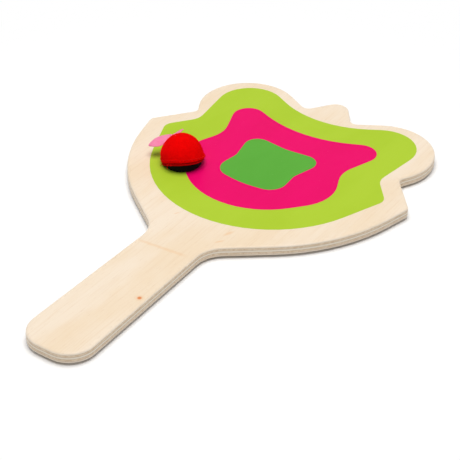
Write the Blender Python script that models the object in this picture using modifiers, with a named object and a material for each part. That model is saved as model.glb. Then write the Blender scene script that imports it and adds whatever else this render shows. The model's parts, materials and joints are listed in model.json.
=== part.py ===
"""A wooden catch paddle with a printed target, and the stuffed felt bug that it catches.

The paddle lies on its back with the tongue of its tulip head towards +Y. The bug sits on the
target on a hook pad, slumped back a little, and two felt wings flap at a pinched knot behind it.
"""
import math

import bmesh
import bpy
from mathutils import Matrix, Vector

# Sizes are in metres and angles in degrees. A positive radius bulges, a negative one is a hollow.
FIT_GAP = 0.0003              # left between pieces that touch
WELD = 0.000001               # points closer than this are one point
FLAT_ANGLE = 1.0              # faces that differ by less than this are one face
ARC_STRAY = 0.0001            # how far the chords of an arc may stray from it
TURN_STEPS = 36               # steps round a turned piece

# Board
LENGTH = 0.380                # tip of the tongue to the end of the handle
BOARD_THICKNESS = 0.008
EDGE_ROUND = 0.0012           # rounding along both faces
EDGE_SEGMENTS = 3
ROUND_SHARE = 0.9             # of the outer ply's thickness, at most
PLY_NAMES = ("back_veneer", "lower_cross_ply", "core_ply", "upper_cross_ply", "face_veneer")

# Tulip outline, from the tongue down one side: radius of each arc, the bearing from the arc
# before it, and the straight run between the two
TONGUE_RADIUS = 0.0105
TONGUE_NOTCH_RADIUS = 0.006
TONGUE_NOTCH_BEARING = -10.9
TONGUE_RUN = 0.0172
LOBE_RADIUS = 0.0407
LOBE_BEARING = -37.5
LOBE_RUN = 0.019
SIDE_NOTCH_RADIUS = 0.005
SIDE_NOTCH_BEARING = -38.3
SIDE_NOTCH_RUN = 0.0073
PETAL_RADIUS = 0.0055
PETAL_BEARING = -68.6
PETAL_RUN = 0.0336
CUP_RADIUS = 0.1379
CUP_BEARING = 173.45
CUP_RUN = 0.0190
NECK_RADIUS = 0.0231
NECK_RUN = 0.0357
HANDLE_NECK_WIDTH = 0.0482
HANDLE_END_WIDTH = 0.052
HANDLE_END_RADIUS = 0.020

# Printed target: three nested zones of ink
PRINT_THICKNESS = 0.0002
PRINT_SHIFT = -0.0015         # the print sits a little to one side of the board's axis
LIME_LOBE_BORDER = 0.01335    # bare wood round the lobe
LIME_LOBE_TUCK = 0.0014       # towards the axis from the board's lobe
LIME_LOBE_LIFT = 0.0037       # towards the tongue from the board's lobe
LIME_DIP_RADIUS = 0.080
LIME_DIP_RUN = 0.011
LIME_NOTCH_RADIUS = 0.0141
LIME_NOTCH_BEARING = -47.1
LIME_NOTCH_RUN = 0.0334
LIME_PETAL_RADIUS = 0.009
LIME_PETAL_BEARING = -104.8
LIME_PETAL_RUN = 0.0175
LIME_BASE_RISE = 0.001        # the round base is centred this far above the petals
LIME_PETAL_PROUD = 0.0064     # how far the petals stand out of the round base

TARGET_DROP = 0.113           # tip of the tongue to the middle of the target
MAGENTA_LOBE_RADIUS = 0.0133
MAGENTA_LOBE_SPREAD = 0.052
MAGENTA_LOBE_RISE = 0.05375
MAGENTA_DIP_RADIUS = 0.0973
MAGENTA_DIP_RUN = 0.0075
MAGENTA_WAIST_RADIUS = 0.026
MAGENTA_WAIST_BEARING = -47.2
MAGENTA_WAIST_RUN = 0.020
MAGENTA_HIP_RADIUS = 0.034
MAGENTA_HIP_BEARING = -148.6
MAGENTA_HIP_RUN = 0.009
MAGENTA_BASE_RISE = 0.0092
MAGENTA_HIP_PROUD = 0.0028

GREEN_TURN = -2.1             # the middle zone stands slightly askew
GREEN_LOBE_RADIUS = 0.0107
GREEN_LOBE_SPREAD = 0.0212
GREEN_LOBE_RISE = 0.0179
GREEN_DIP_RADIUS = 0.0325
GREEN_DIP_RUN = 0.0165
GREEN_WAIST_RADIUS = 0.010
GREEN_WAIST_BEARING = -53.1
GREEN_WAIST_RUN = 0.0166
GREEN_HIP_RADIUS = 0.0138
GREEN_HIP_BEARING = -147.7
GREEN_HIP_RUN = 0.0114
GREEN_BASE_RISE = 0.0563
GREEN_HIP_PROUD = 0.0004

# Felt bug
BUG_ACROSS = -0.0564          # from the middle of the target
BUG_ALONG = -0.0351
BUG_HEADING = -28.0           # its nose points to the target, its wings to the rim
LEAN = 11.6                   # how far the stuffed body slumps over on its pad
LEAN_HEADING = -24.0          # the side that rises, from the nose
FELT = 0.0016                 # thickness of the body's felt
DOME_RADIUS = 0.0172
DOME_HEIGHT = 0.0175          # above the seam
DOME_SIDE_POWER = 1.06        # 1 and 1 would be a half ellipsoid; more is more pointed
DOME_TOP_POWER = 1.125
DOME_STEPS = 9
SEAM_LIP = 0.0010             # how far the sewn edges stand out all round
BASE_BULGE = 0.00065          # how far the base hangs below the seam
BASE_FLAT = 0.0105            # radius of the flat that the pad is sewn to
BASE_STEPS = 4
FILL_GAP = 0.0010             # left round the filling
PAD_RADIUS = 0.0146
PAD_THICKNESS = 0.0036        # at its middle: its top leans with the body
PAD_EDGE_ROUND = 0.0003
THREAD_RADIUS = 0.00035
THREAD_SIDES = 6

# Wings
SLOPE_STEP = 1.0              # the step over which the dome's slope is read
WING_SEAT = 35.0              # how far up the dome's curve the knot sits
KNOT_LENGTH = 0.005
KNOT_RADIUS = 0.0018
KNOT_WAIST = 0.0012
KNOT_STEPS = 8
WING_LENGTH = 0.0178
WING_WIDTH = 0.0102
WING_FELT = 0.0014
WING_ROOT_RADIUS = 0.0020
WING_TIP_RADIUS = 0.0010
WING_SHOULDER = 0.0090        # from the hinge to the widest place
WING_FULLNESS = 0.9           # 1 leaves no straight stretch between the arcs
WING_ROOT_CLEAR = 0.0009      # the fold that lets a wing flap
WING_SWEEP = {"left_wing": 14.0, "right_wing": 57.0}
WING_DROOP = {"left_wing": 15.0, "right_wing": 18.0}
WING_ROLL = {"left_wing": 2.0, "right_wing": -34.0}  # about its own length

# Colour, roughness and metallic of each finish
FINISHES = {
    "lacquered_birch": ((0.86, 0.74, 0.58), 0.42, 0.0),
    "cross_ply": ((0.62, 0.47, 0.33), 0.60, 0.0),
    "lime_ink": ((0.46, 0.64, 0.05), 0.40, 0.0),
    "magenta_ink": ((0.86, 0.005, 0.16), 0.40, 0.0),
    "green_ink": ((0.11, 0.41, 0.06), 0.40, 0.0),
    "red_felt": ((0.80, 0.004, 0.004), 0.95, 0.0),
    "pink_felt": ((0.93, 0.26, 0.44), 0.95, 0.0),
    "fibre_filling": ((0.85, 0.84, 0.80), 0.95, 0.0),
    "black_hook_tape": ((0.012, 0.012, 0.012), 0.70, 0.0),
    "red_thread": ((0.62, 0.004, 0.006), 0.80, 0.0),
}


def clear_scene():
    """Remove whatever the file held."""
    for obj in list(bpy.data.objects):
        bpy.data.objects.remove(obj, do_unlink=True)


def finish(name):
    """A Principled material of one finish."""
    material = bpy.data.materials.get(name)
    if material is None:
        colour, roughness, metallic = FINISHES[name]
        material = bpy.data.materials.new(name)
        material.use_nodes = True
        shader = material.node_tree.nodes["Principled BSDF"]
        shader.inputs["Base Color"].default_value = (*colour, 1.0)
        shader.inputs["Roughness"].default_value = roughness
        shader.inputs["Metallic"].default_value = metallic
    return material


def add_object(name, data, finish_name, location=(0.0, 0.0, 0.0), parent=None):
    """Put a mesh or curve into the assembly as one named piece."""
    obj = bpy.data.objects.new(name, data)
    data.materials.append(finish(finish_name))
    obj.location = location
    obj.parent = parent
    assembly.objects.link(obj)
    return obj


def add_empty(name, location, rotation, parent=None):
    """A place that several pieces hang on."""
    empty = bpy.data.objects.new(name, None)
    empty.location = location
    empty.rotation_euler = rotation.to_euler()
    empty.parent = parent
    assembly.objects.link(empty)
    return empty


def next_arc(arc, radius, bearing, run):
    """The arc that follows another at a bearing, with a straight run between the two."""
    x, y, last_radius = arc
    reach = math.hypot(last_radius - radius, run)
    angle = math.radians(bearing)
    return (x + reach * math.cos(angle), y + reach * math.sin(angle), radius)


def dip_arc(arc, radius, run):
    """The hollow on the axis above an arc, with a straight run between the two."""
    x, y, last_radius = arc
    reach = math.hypot(last_radius + radius, run)
    return (0.0, y + math.sqrt(reach ** 2 - x ** 2), -radius)


def base_arc(arc, rise, proud):
    """The round base on the axis that an arc on either side stands out of."""
    x, y, last_radius = arc
    return (0.0, y + rise, math.hypot(x, rise) + last_radius - proud)


def both_sides(half):
    """Close a chain of arcs that runs down the right side, counterclockwise."""
    left = [(-x, y, radius) for x, y, radius in half if x != 0.0]
    return list(reversed(half)) + left


def turned(arcs, centre, degrees):
    """Arcs turned about a point."""
    cos = math.cos(math.radians(degrees))
    sin = math.sin(math.radians(degrees))
    across = [(x - centre[0], y - centre[1], radius) for x, y, radius in arcs]
    return [(centre[0] + x * cos - y * sin, centre[1] + x * sin + y * cos, r) for x, y, r in across]


def trace(arcs, inset=0.0, shift=0.0):
    """Points of the closed line round the arcs, with the tangents between them."""
    rounds = [(x + shift, y, radius - inset) for x, y, radius in arcs]
    headings = []
    for (x0, y0, r0), (x1, y1, r1) in zip(rounds, rounds[1:] + rounds[:1]):
        lean = math.asin((r1 - r0) / math.hypot(x1 - x0, y1 - y0))
        headings.append(math.atan2(y1 - y0, x1 - x0) - lean)
    points = []
    for i, (x, y, radius) in enumerate(rounds):
        turn = (headings[i] - headings[i - 1]) % math.tau
        if radius < 0.0:
            turn -= math.tau
        widest = 2.0 * math.acos(1.0 - ARC_STRAY / abs(radius))
        steps = math.ceil(abs(turn) / widest)
        for k in range(steps + 1):
            heading = headings[i - 1] + turn * k / steps
            points.append((x + radius * math.sin(heading), y - radius * math.cos(heading)))
    return points


def plate_data(name, loops, thickness):
    """A flat plate from closed outlines, the first one outside the rest."""
    data = bpy.data.curves.new(name, "CURVE")
    data.dimensions = "2D"
    data.fill_mode = "BOTH"
    data.extrude = thickness / 2.0
    for loop in loops:
        spline = data.splines.new("POLY")
        spline.points.add(len(loop) - 1)
        spline.use_cyclic_u = True
        for point, (x, y) in zip(spline.points, loop):
            point.co = (x, y, 0.0, 1.0)
    return data


def turned_data(name, profile):
    """An edge profile in the XZ plane, to be turned by a Screw modifier."""
    data = bpy.data.meshes.new(name)
    bm = bmesh.new()
    verts = [bm.verts.new((point[0], 0.0, point[1])) for point in profile]
    for upper, lower in zip(verts, verts[1:]):
        bm.edges.new((upper, lower))
    bm.to_mesh(data)
    bm.free()
    return data


def turn(obj):
    """Turn a profile round its own Z axis."""
    screw = obj.modifiers.new("turn", "SCREW")
    screw.axis = "Z"
    screw.steps = TURN_STEPS
    screw.render_steps = TURN_STEPS
    screw.use_merge_vertices = True
    screw.merge_threshold = WELD
    screw.use_smooth_shade = True
    return obj


def mesh_of(obj):
    """Replace a piece by its own mesh, as its modifiers or its curve make it."""
    name = obj.name
    bpy.context.view_layer.update()
    depsgraph = bpy.context.evaluated_depsgraph_get()
    data = bpy.data.meshes.new_from_object(obj.evaluated_get(depsgraph))
    made = bpy.data.objects.new(name + "_mesh", data)
    made.parent = obj.parent
    made.matrix_world = obj.matrix_world
    assembly.objects.link(made)
    bpy.data.objects.remove(obj, do_unlink=True)
    made.name = name
    return made


def weld_plate(data):
    """Weld a plate's caps to its sides, with one face on each side."""
    bm = bmesh.new()
    bm.from_mesh(data)
    bmesh.ops.remove_doubles(bm, verts=bm.verts, dist=WELD)
    limit = math.radians(FLAT_ANGLE)
    bmesh.ops.dissolve_limit(bm, angle_limit=limit, verts=bm.verts, edges=bm.edges)
    bm.to_mesh(data)
    bm.free()


def round_one_face(obj, upper, radius):
    """Round the edge along the upper or the lower face of a plate."""
    sign = 1.0 if upper else -1.0
    data = obj.data
    weights = data.attributes.new("bevel_weight_edge", "FLOAT", "EDGE")
    for edge in data.edges:
        on_face = all(sign * data.vertices[i].co.z > 0.0 for i in edge.vertices)
        weights.data[edge.index].value = 1.0 if on_face else 0.0
    bevel = obj.modifiers.new("round_over", "BEVEL")
    bevel.limit_method = "WEIGHT"
    bevel.width = radius
    bevel.segments = EDGE_SEGMENTS


def ring(name, finish_name, radius, place, parent):
    """A loop of sewing thread round an upright axis."""
    bpy.ops.mesh.primitive_torus_add(
        major_segments=TURN_STEPS,
        minor_segments=THREAD_SIDES,
        major_radius=radius,
        minor_radius=THREAD_RADIUS,
    )
    made = bpy.context.object
    data = made.data
    bpy.data.objects.remove(made, do_unlink=True)
    data.name = name
    data.shade_smooth()
    return add_object(name, data, finish_name, place, parent)


def head_arcs():
    """The arcs down one side of the tulip, by name."""
    arcs = {"tongue": (0.0, LENGTH / 2.0 - TONGUE_RADIUS, TONGUE_RADIUS)}
    arcs["tongue_notch"] = next_arc(
        arcs["tongue"], -TONGUE_NOTCH_RADIUS, TONGUE_NOTCH_BEARING, TONGUE_RUN)
    arcs["lobe"] = next_arc(arcs["tongue_notch"], LOBE_RADIUS, LOBE_BEARING, LOBE_RUN)
    arcs["side_notch"] = next_arc(
        arcs["lobe"], -SIDE_NOTCH_RADIUS, SIDE_NOTCH_BEARING, SIDE_NOTCH_RUN)
    arcs["petal"] = next_arc(arcs["side_notch"], PETAL_RADIUS, PETAL_BEARING, PETAL_RUN)
    arcs["cup"] = next_arc(arcs["petal"], CUP_RADIUS, CUP_BEARING, CUP_RUN)
    return arcs


def board_arcs(head):
    """The whole outline: the head, the neck and the round end of the handle."""
    cup_x, cup_y, cup_radius = head["cup"]
    neck_x = HANDLE_NECK_WIDTH / 2.0 + NECK_RADIUS
    reach = math.hypot(cup_radius + NECK_RADIUS, NECK_RUN)
    neck_y = cup_y - math.sqrt(reach ** 2 - (neck_x - cup_x) ** 2)
    end_x = HANDLE_END_WIDTH / 2.0 - HANDLE_END_RADIUS
    end_y = HANDLE_END_RADIUS - LENGTH / 2.0
    half = list(head.values())
    half.append((neck_x, neck_y, -NECK_RADIUS))
    half.append((end_x, end_y, HANDLE_END_RADIUS))
    return both_sides(half)


def lime_arcs(head):
    """The outer zone, which follows the head at a border of bare wood."""
    lobe_x, lobe_y, lobe_radius = head["lobe"]
    lobe = (lobe_x - LIME_LOBE_TUCK, lobe_y + LIME_LOBE_LIFT, lobe_radius - LIME_LOBE_BORDER)
    dip = dip_arc(lobe, LIME_DIP_RADIUS, LIME_DIP_RUN)
    notch = next_arc(lobe, -LIME_NOTCH_RADIUS, LIME_NOTCH_BEARING, LIME_NOTCH_RUN)
    petal = next_arc(notch, LIME_PETAL_RADIUS, LIME_PETAL_BEARING, LIME_PETAL_RUN)
    base = base_arc(petal, LIME_BASE_RISE, LIME_PETAL_PROUD)
    return both_sides([dip, lobe, notch, petal, base])


def magenta_arcs():
    """The second zone, round the middle of the target."""
    lobe = (MAGENTA_LOBE_SPREAD, target_y + MAGENTA_LOBE_RISE, MAGENTA_LOBE_RADIUS)
    dip = dip_arc(lobe, MAGENTA_DIP_RADIUS, MAGENTA_DIP_RUN)
    waist = next_arc(lobe, -MAGENTA_WAIST_RADIUS, MAGENTA_WAIST_BEARING, MAGENTA_WAIST_RUN)
    hip = next_arc(waist, MAGENTA_HIP_RADIUS, MAGENTA_HIP_BEARING, MAGENTA_HIP_RUN)
    base = base_arc(hip, MAGENTA_BASE_RISE, MAGENTA_HIP_PROUD)
    return both_sides([dip, lobe, waist, hip, base])


def green_arcs():
    """The middle zone."""
    lobe = (GREEN_LOBE_SPREAD, target_y + GREEN_LOBE_RISE, GREEN_LOBE_RADIUS)
    dip = dip_arc(lobe, GREEN_DIP_RADIUS, GREEN_DIP_RUN)
    waist = next_arc(lobe, -GREEN_WAIST_RADIUS, GREEN_WAIST_BEARING, GREEN_WAIST_RUN)
    hip = next_arc(waist, GREEN_HIP_RADIUS, GREEN_HIP_BEARING, GREEN_HIP_RUN)
    base = base_arc(hip, GREEN_BASE_RISE, GREEN_HIP_PROUD)
    return turned(both_sides([dip, lobe, waist, hip, base]), (0.0, target_y), GREEN_TURN)


def build_board(arcs):
    """Five plies, the outer two rounded along their outer faces."""
    spaces = (len(PLY_NAMES) - 1) * FIT_GAP
    ply = (BOARD_THICKNESS - spaces) / len(PLY_NAMES)
    edge_round = min(EDGE_ROUND, ROUND_SHARE * ply)
    outline = trace(arcs)
    for layer, name in enumerate(PLY_NAMES):
        crossed = layer % 2 == 1
        middle = layer * (ply + FIT_GAP) + ply / 2.0
        data = plate_data(name, [outline], ply)
        finish_name = "cross_ply" if crossed else "lacquered_birch"
        plate = add_object(name, data, finish_name, (0.0, 0.0, middle))
        if layer in (0, len(PLY_NAMES) - 1):
            plate = mesh_of(plate)
            weld_plate(plate.data)
            round_one_face(plate, layer > 0, edge_round)


def build_target(head):
    """Three zones of ink, each with the next one cut out of its middle."""
    zones = [
        ("lime_print", "lime_ink", lime_arcs(head)),
        ("magenta_print", "magenta_ink", magenta_arcs()),
        ("green_print", "green_ink", green_arcs()),
    ]
    middle = BOARD_THICKNESS + FIT_GAP + PRINT_THICKNESS / 2.0
    for i, (name, finish_name, arcs) in enumerate(zones):
        loops = [trace(arcs, FIT_GAP / 2.0, PRINT_SHIFT)]
        for inner in zones[i + 1:i + 2]:
            loops.append(trace(inner[2], -FIT_GAP / 2.0, PRINT_SHIFT))
        add_object(name, plate_data(name, loops, PRINT_THICKNESS), finish_name, (0.0, 0.0, middle))


def dome_point(degrees, inset):
    """A point of the dome's section, at an angle up from the seam."""
    angle = math.radians(degrees)
    radius = (DOME_RADIUS - inset) * math.cos(angle) ** DOME_SIDE_POWER
    height = (DOME_HEIGHT - inset) * math.sin(angle) ** DOME_TOP_POWER
    return radius, height


def dome_curve(inset, lowest):
    """The dome's section from the top down to a height above the seam."""
    points = [(0.0, DOME_HEIGHT - inset)]
    for k in range(1, DOME_STEPS):
        point = dome_point(90.0 * (1.0 - k / DOME_STEPS), inset)
        if point[1] > lowest:
            points.append(point)
    points.append((DOME_RADIUS - inset, lowest))
    return points


def base_curve(radius, top):
    """The base's section from its rim to the flat that the pad is sewn to."""
    points = []
    for k in range(BASE_STEPS + 1):
        angle = math.radians(90.0 * k / BASE_STEPS)
        reach = BASE_FLAT + (radius - BASE_FLAT) * math.cos(angle)
        points.append((reach, top - BASE_BULGE * math.sin(angle)))
    return points


def lean_turn():
    """The turn of the slumped body about the middle of its seam."""
    rising = math.radians(LEAN_HEADING)
    axis = Vector((math.sin(rising), -math.cos(rising), 0.0))
    return Matrix.Rotation(math.radians(LEAN), 3, axis)


def build_body(flat_frame, lean_frame, seam):
    """The two sewn felt panels, what fills them, the seam's thread and the hook pad."""
    lip = DOME_RADIUS + SEAM_LIP
    upper = FIT_GAP / 2.0
    lower = -FIT_GAP / 2.0
    dome = dome_curve(0.0, upper + FELT)
    dome += [(lip, upper + FELT), (lip, upper), (DOME_RADIUS - FELT, upper)]
    dome += list(reversed(dome_curve(FELT, upper)[:-1]))
    turn(add_object("dome_panel", turned_data("dome_panel", dome), "red_felt", parent=lean_frame))

    inside = base_curve(DOME_RADIUS - FELT, lower)
    outside = base_curve(DOME_RADIUS, lower - FELT)
    base = [(0.0, inside[-1][1])] + list(reversed(inside))
    base += [(lip, lower), (lip, lower - FELT)] + outside + [(0.0, outside[-1][1])]
    turn(add_object("base_panel", turned_data("base_panel", base), "red_felt", parent=lean_frame))

    inset = FELT + FILL_GAP
    filling = dome_curve(inset, upper) + base_curve(DOME_RADIUS - inset, lower + FILL_GAP)[1:]
    filling.append((0.0, filling[-1][1]))
    turn(add_object("filling", turned_data("filling", filling), "fibre_filling", parent=lean_frame))

    on_lip = (0.0, 0.0, upper + FELT + FIT_GAP + THREAD_RADIUS)
    ring("seam_thread", "red_thread", lip - THREAD_RADIUS, on_lip, lean_frame)

    data = bpy.data.meshes.new("hook_pad")
    bm = bmesh.new()
    bmesh.ops.create_cone(
        bm,
        cap_ends=True,
        segments=TURN_STEPS,
        radius1=PAD_RADIUS,
        radius2=PAD_RADIUS,
        depth=PAD_THICKNESS,
        matrix=Matrix.Translation((0.0, 0.0, PAD_THICKNESS / 2.0 - seam)),
    )
    for vertex in bm.verts:
        if vertex.co.z > PAD_THICKNESS / 2.0 - seam:
            vertex.co = lean_turn() @ vertex.co
    bm.to_mesh(data)
    bm.free()
    pad = add_object("hook_pad", data, "black_hook_tape", (0.0, 0.0, seam), flat_frame)
    bevel = pad.modifiers.new("round_edge", "BEVEL")
    bevel.limit_method = "ANGLE"
    bevel.width = PAD_EDGE_ROUND
    bevel.segments = 1


def knot_place():
    """Where the knot's axis lies behind the dome: its thread just meets the felt."""
    radius, height = dome_point(WING_SEAT, 0.0)
    ahead_radius, ahead_height = dome_point(WING_SEAT + SLOPE_STEP, 0.0)
    along = Vector((ahead_radius - radius, ahead_height - height)).normalized()
    outward = Vector((along.y, -along.x))
    stand_off = KNOT_WAIST + 2.0 * FIT_GAP + 2.0 * THREAD_RADIUS
    return Vector((-radius - outward.x * stand_off, 0.0, height + outward.y * stand_off))


def wing_loop():
    """A leaf along +X: a narrow root, a fuller tip, and a bulge on either side."""
    root = (WING_ROOT_CLEAR + WING_ROOT_RADIUS, 0.0, WING_ROOT_RADIUS)
    tip = (WING_LENGTH - WING_TIP_RADIUS, 0.0, WING_TIP_RADIUS)
    half = WING_WIDTH / 2.0
    limits = []
    for x, _, radius in (root, tip):
        reach = WING_SHOULDER - x
        limits.append((reach ** 2 + half ** 2 - radius ** 2) / (2.0 * (half - radius)))
    bulge = WING_FULLNESS * min(limits)
    lower = (WING_SHOULDER, bulge - half, bulge)
    upper = (WING_SHOULDER, half - bulge, bulge)
    return trace([root, lower, tip, upper])


def build_wings(frame, place):
    """The pinched knot, the thread round it and the two felt wings that flap at its ends."""
    half = KNOT_LENGTH / 2.0
    profile = [(0.0, half)]
    for k in range(KNOT_STEPS + 1):
        along = k / KNOT_STEPS
        swell = math.cos(math.pi * along) ** 2
        profile.append((KNOT_WAIST + (KNOT_RADIUS - KNOT_WAIST) * swell, half - KNOT_LENGTH * along))
    profile.append((0.0, -half))
    knot = turn(add_object("wing_knot", turned_data("wing_knot", profile), "pink_felt", place, frame))
    knot.rotation_euler.x = math.radians(90.0)

    thread = ring("wing_thread", "red_thread", KNOT_WAIST + FIT_GAP + THREAD_RADIUS, place, frame)
    thread.rotation_euler.x = math.radians(90.0)

    for name, side in (("left_wing", -1.0), ("right_wing", 1.0)):
        hinge = place + Vector((0.0, side * (half + FIT_GAP), 0.0))
        data = plate_data(name, [wing_loop()], WING_FELT)
        wing = add_object(name, data, "pink_felt", hinge, frame)
        heading = side * (90.0 + WING_SWEEP[name])
        angles = (WING_ROLL[name], WING_DROOP[name], heading)
        wing.rotation_euler = [math.radians(angle) for angle in angles]


clear_scene()
assembly = bpy.data.collections.new("catch_paddle")
bpy.context.scene.collection.children.link(assembly)

target_y = LENGTH / 2.0 - TARGET_DROP
head = head_arcs()
build_board(board_arcs(head))
build_target(head)

face_height = BOARD_THICKNESS + 2.0 * FIT_GAP + PRINT_THICKNESS
bug_place = (BUG_ACROSS, target_y + BUG_ALONG, face_height)
seam_height = PAD_THICKNESS + FIT_GAP + BASE_BULGE + FELT + FIT_GAP / 2.0
bug_frame = add_empty("bug_frame", bug_place, Matrix.Rotation(math.radians(BUG_HEADING), 3, "Z"))
body_frame = add_empty("body_frame", (0.0, 0.0, seam_height), lean_turn(), bug_frame)
build_body(bug_frame, body_frame, seam_height)
build_wings(bug_frame, lean_turn() @ knot_place() + body_frame.location)
bpy.context.view_layer.update()

for wing_name in WING_DROOP:
    hinge = bpy.data.objects[wing_name].matrix_world
    upward_axis = hinge.col[0].to_3d().cross(Vector((0.0, 0.0, 1.0))).normalized()
    place = [round(value, 6) for value in hinge.translation]
    print(wing_name, "hinge at", place, "lifts about", [round(value, 6) for value in upward_axis])
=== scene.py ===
# %% [markdown]
# # A plywood catch paddle with a felt bug
# The real toy is a tulip-shaped paddle sawn from thin five-ply birch, with three nested zones of ink printed
# on its face, and a small stuffed felt bug that is thrown and caught. The rigid frame already exists, with
# every sub-part at its true size, so this lesson only dresses it: each step reads the shape that is there and
# builds the surface that the eye would see. We start from an empty scene, so only the toy is measured.

# %% Load the frame
import json
import math
import random

import bmesh
import bpy
import numpy as np
from mathutils import Matrix, Vector, noise

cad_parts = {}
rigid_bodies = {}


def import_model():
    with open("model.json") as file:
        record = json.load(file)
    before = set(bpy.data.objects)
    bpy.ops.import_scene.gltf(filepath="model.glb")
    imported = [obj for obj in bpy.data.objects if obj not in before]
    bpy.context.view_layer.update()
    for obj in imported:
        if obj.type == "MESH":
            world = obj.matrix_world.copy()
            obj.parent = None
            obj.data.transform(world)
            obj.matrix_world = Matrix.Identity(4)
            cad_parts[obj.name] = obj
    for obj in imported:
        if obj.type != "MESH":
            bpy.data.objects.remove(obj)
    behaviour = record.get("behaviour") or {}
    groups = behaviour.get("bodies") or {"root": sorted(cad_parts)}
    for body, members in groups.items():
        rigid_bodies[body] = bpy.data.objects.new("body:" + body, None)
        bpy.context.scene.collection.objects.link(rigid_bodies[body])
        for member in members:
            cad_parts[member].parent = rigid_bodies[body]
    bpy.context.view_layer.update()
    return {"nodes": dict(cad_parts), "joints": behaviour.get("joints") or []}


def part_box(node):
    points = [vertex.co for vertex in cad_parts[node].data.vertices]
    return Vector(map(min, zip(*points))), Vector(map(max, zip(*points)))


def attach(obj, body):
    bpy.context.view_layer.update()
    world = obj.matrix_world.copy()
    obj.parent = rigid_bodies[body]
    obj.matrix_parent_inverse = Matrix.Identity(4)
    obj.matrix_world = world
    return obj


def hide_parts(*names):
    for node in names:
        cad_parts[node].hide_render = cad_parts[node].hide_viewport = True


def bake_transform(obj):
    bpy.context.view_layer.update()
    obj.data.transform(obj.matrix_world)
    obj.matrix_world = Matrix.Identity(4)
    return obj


for leftover in list(bpy.data.objects):
    bpy.data.objects.remove(leftover, do_unlink=True)
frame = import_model()
MM = 0.001

# %% [markdown]
# ## Camera
# The photograph looks down on the face from the lower right with a long lens, so the far petals are hardly
# smaller than the near ones. The place, the turn and the focal length come from the paddle's own symmetry:
# both halves of the outline have to fall on one mirrored shape.

# %% Set the camera
CAMERA_PLACE = (0.49023, -0.69975, 0.58297)
CAMERA_TURN = (55.266, 0.0, 34.105)
CAMERA_LENS = 109.584

lens = bpy.data.cameras.new("photo_camera")
lens.lens, lens.sensor_width = CAMERA_LENS, 36.0
camera = bpy.data.objects.new("photo_camera", lens)
camera.location = CAMERA_PLACE
camera.rotation_euler = [math.radians(angle) for angle in CAMERA_TURN]
scene = bpy.context.scene
scene.collection.objects.link(camera)
scene.camera = camera
scene.view_settings.view_transform = "Standard"
print("camera:", CAMERA_LENS, "mm lens,", round(camera.location.length, 3), "m from the paddle's middle")

# %% [markdown]
# ## Sums that build shader nodes
# Procedural finishes are sums on numbers that change over a surface: a grain times a strength, one minus a
# mask. Wiring them by hand hides the sum, so one small class wraps a socket and turns Python's operators into
# Math nodes. Every other node comes from one method that takes the node's type, its settings and its sockets.

# %% A socket that can be added and multiplied
class Wire:
    """A value on its way through a finish. A sum on it adds a Math node."""

    def __init__(self, sheet, socket):
        self.sheet, self.socket = sheet, socket

    def math(self, operation, first, second=0.0):
        return self.sheet.add("Math", {"operation": operation}, {0: first, 1: second})

    def __add__(self, other):
        return self.math("ADD", self, other)

    def __radd__(self, other):
        return self.math("ADD", other, self)

    def __sub__(self, other):
        return self.math("SUBTRACT", self, other)

    def __rsub__(self, other):
        return self.math("SUBTRACT", other, self)

    def __mul__(self, other):
        return self.math("MULTIPLY", self, other)

    def __rmul__(self, other):
        return self.math("MULTIPLY", other, self)

    def __pow__(self, other):
        return self.math("POWER", self, other)

    def __rpow__(self, other):
        return self.math("POWER", other, self)

    def __abs__(self):
        return self.math("ABSOLUTE", self)

    def rise(self, low, high):
        """0 below low, 1 above high, and a soft step between them."""
        return self.sheet.add("MapRange", {"interpolation_type": "SMOOTHSTEP"},
                              {"Value": self, "From Min": low, "From Max": high})

    def fall(self, low, high):
        """The other way round: 1 below low and 0 above high."""
        return 1 - self.rise(low, high)


print("sums on sockets ready")

# %% A sheet of nodes
class Sheet:
    """The nodes of one material or of the world."""

    def __init__(self, owner):
        owner.use_nodes = True
        self.owner, self.tree = owner, owner.node_tree
        self.tree.nodes.clear()

    def add(self, kind, settings=None, sockets=None, out=0):
        node = self.tree.nodes.new("ShaderNode" + kind)
        for name, value in (settings or {}).items():
            setattr(node, name, value)
        for key, value in (sockets or {}).items():
            if isinstance(value, Wire):
                self.tree.links.new(value.socket, node.inputs[key])
            else:
                node.inputs[key].default_value = value
        return Wire(self, node.outputs[out]) if node.outputs else None

    def place(self, stretch=(1, 1, 1)):
        """Where a point lies on the part, in metres, drawn out or squeezed along each axis."""
        spot = self.add("TexCoord", out="Object")
        return self.add("VectorMath", {"operation": "MULTIPLY"}, {0: spot, 1: stretch})

    def axes(self):
        """The three coordinates of a point, in metres."""
        parts = self.add("SeparateXYZ", sockets={0: self.add("TexCoord", out="Object")})
        return [Wire(self, socket) for socket in parts.socket.node.outputs]

    def grain(self, size, stretch=(1, 1, 1), detail=2.0, rough=0.5):
        """Soft noise from 0 to 1 whose blobs are about size metres wide."""
        return self.add("TexNoise", None, {"Vector": self.place(stretch), "Scale": 1 / size,
                                           "Detail": detail, "Roughness": rough})

    def mix(self, mask, first, second):
        """A colour: first where the mask is 0 and second where it is 1."""
        return self.add("Mix", {"data_type": "RGBA"}, {0: mask, 6: first, 7: second}, 2)

    def surface(self, colour, rough, bump, gloss, more=None):
        """A Principled surface, as the output. A bump is a height, its depth in metres and its strength."""
        normal = self.add("Bump", None, dict(zip(("Height", "Distance", "Strength"), bump)))
        shader = self.add("BsdfPrincipled", None, {
            "Base Color": colour, "Roughness": rough, "Normal": normal, "Specular IOR Level": gloss,
            **(more or {})})
        self.add("OutputMaterial", None, {"Surface": shader})
        return self.owner


def finish_sheet(name):
    return Sheet(bpy.data.materials.new(name))


def tone(*screen):
    """A colour as seen on a screen, 0 to 255, turned into the linear values that shaders use."""
    def linear(share):
        return share / 12.92 if share <= 0.04045 else ((share + 0.055) / 1.055) ** 2.4
    return (*(linear(value / 255) for value in screen), 1.0)


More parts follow.
